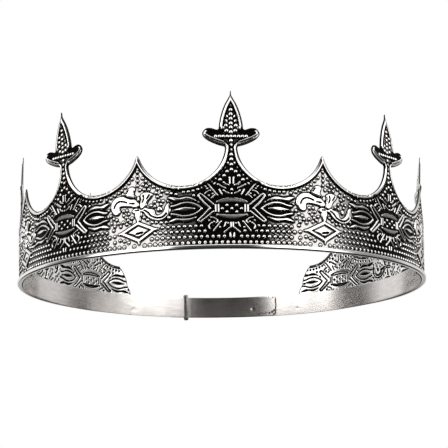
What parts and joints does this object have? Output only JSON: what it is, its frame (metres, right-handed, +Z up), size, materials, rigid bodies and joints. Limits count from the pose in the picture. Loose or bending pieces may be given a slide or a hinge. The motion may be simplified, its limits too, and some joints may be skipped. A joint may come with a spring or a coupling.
{
  "type": "adjustable crown",
  "caption": "Crown of die-struck antique-silver sheet with lancet crosses and scalloped peaks, closed at the back by plain overlapping strips that slide through a keeper loop.",
  "frame": {"origin": "middle of the bounding box in plan, at its lowest level, which is the foot of the keeper loop", "axes": "+Z up, towards the tips of the crosses; the front of the crown faces -Y; the keeper loop is at the back, on the -X side"},
  "size_m": [0.183, 0.1794, 0.0632],
  "materials": {
    "antique_silver": "antique silver plate over steel, near-black patina in the recesses, polished high points",
    "satin_nickel": "satin nickel plate, faint rolling lines along the strip",
    "keeper_nickel": "worn nickel plate with darker edges"
  },
  "bodies": {
    "crown_front": {"ornate_sheet": "antique_silver"},
    "left_arm": {"left_band": "satin_nickel"},
    "right_arm": {"right_band": "satin_nickel", "keeper_loop": "keeper_nickel"}
  },
  "joints": [
    {"name": "left_flex", "type": "hinge", "parent": "crown_front", "child": "left_arm", "pos_m": [-0.08799, 0.00335, 0.0022], "axis": [0, 0, -1], "range_deg": [-10, 6], "deforming": ["ornate_sheet"]},
    {"name": "right_flex", "type": "hinge", "parent": "crown_front", "child": "right_arm", "pos_m": [0.08799, 0.00335, 0.0022], "axis": [0, 0, 1], "range_deg": [-10, 6], "deforming": ["ornate_sheet"]}
  ],
  "couplings": [
    {"joint": "left_flex", "follows": "right_flex", "ratio": 1}
  ]
}
